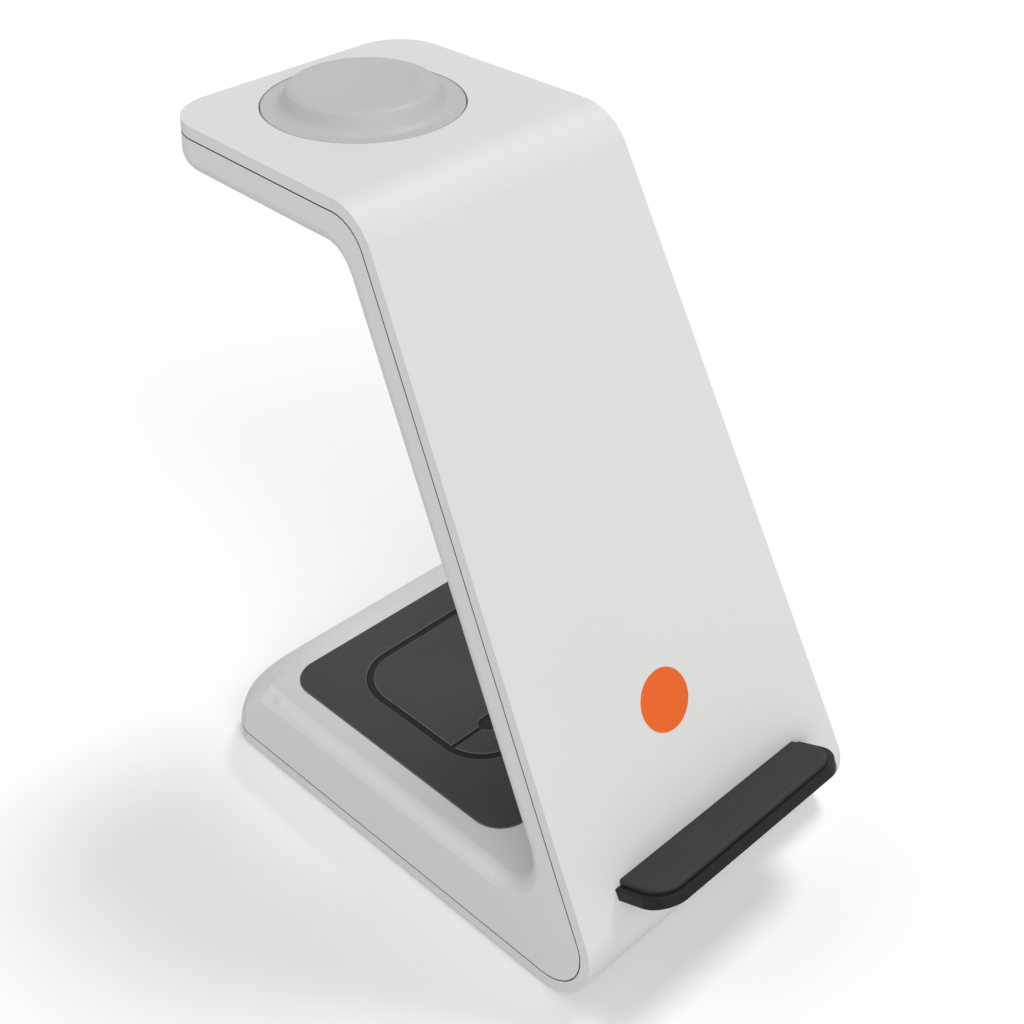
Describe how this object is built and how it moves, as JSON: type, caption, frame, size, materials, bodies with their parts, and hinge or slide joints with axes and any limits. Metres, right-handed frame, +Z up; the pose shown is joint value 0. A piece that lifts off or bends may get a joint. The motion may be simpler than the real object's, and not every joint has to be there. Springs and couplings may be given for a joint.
{
  "type": "wireless charging station",
  "caption": "Z-shaped stand that charges a phone on its leaning panel, a watch on its arm and an earbud case on its base.",
  "frame": {"origin": "bottom centre of the whole stand, on the table under the feet", "axes": "+Z up, -Y towards the user and the phone side, +X to the user's right"},
  "size_m": [0.098, 0.1612, 0.1793],
  "materials": {
    "white_shell": "smooth matt moulding",
    "dark_rubber": "matt",
    "grey_puck": "smooth matt moulding",
    "black_plastic": "fine texture",
    "ledge_rubber": "matt",
    "foot_rubber": "matt",
    "bright_steel": "drawn",
    "screw_steel": "zinc plated",
    "ballast_steel": "plain sheet",
    "board_green": "solder resist",
    "chip_black": "moulded",
    "inductor_grey": "pressed powder",
    "capacitor_tan": "ceramic",
    "copper": "enamelled copper",
    "ferrite": "sintered",
    "carrier_plastic": "moulded",
    "magnet_nickel": "nickel plated",
    "lead_red": "silicone"
  },
  "bodies": {
    "root": {"outer_shell": "white_shell", "inner_shell": "white_shell", "base_pad": "dark_rubber", "watch_puck": "grey_puck", "ledge_bracket": "black_plastic", "usb_tongue": "black_plastic", "puck_cap": "black_plastic", "ledge_pad": "ledge_rubber", "front_left_foot": "foot_rubber", "front_right_foot": "foot_rubber", "rear_left_foot": "foot_rubber", "rear_right_foot": "foot_rubber", "usb_shell": "bright_steel", "case_screws": "screw_steel", "ledge_screws": "screw_steel", "board_screws": "screw_steel", "earbud_screws": "screw_steel", "phone_screws": "screw_steel", "base_weight": "ballast_steel", "main_board": "board_green", "watch_board": "board_green", "controller_chip": "chip_black", "phone_driver_chip": "chip_black", "watch_driver_chip": "chip_black", "earbud_driver_chip": "chip_black", "power_inductor": "inductor_grey", "phone_capacitor": "capacitor_tan", "watch_capacitor": "capacitor_tan", "earbud_capacitor": "capacitor_tan", "earbud_coil": "copper", "lower_phone_coil": "copper", "upper_phone_coil": "copper", "watch_coil": "copper", "earbud_ferrite": "ferrite", "phone_ferrite": "ferrite", "watch_ferrite": "ferrite", "earbud_carrier": "carrier_plastic", "phone_carrier": "carrier_plastic", "watch_magnet": "magnet_nickel", "lower_phone_leads": "lead_red", "upper_phone_leads": "lead_red", "watch_leads": "lead_red", "earbud_leads": "lead_red"}
  },
  "joints": []
}
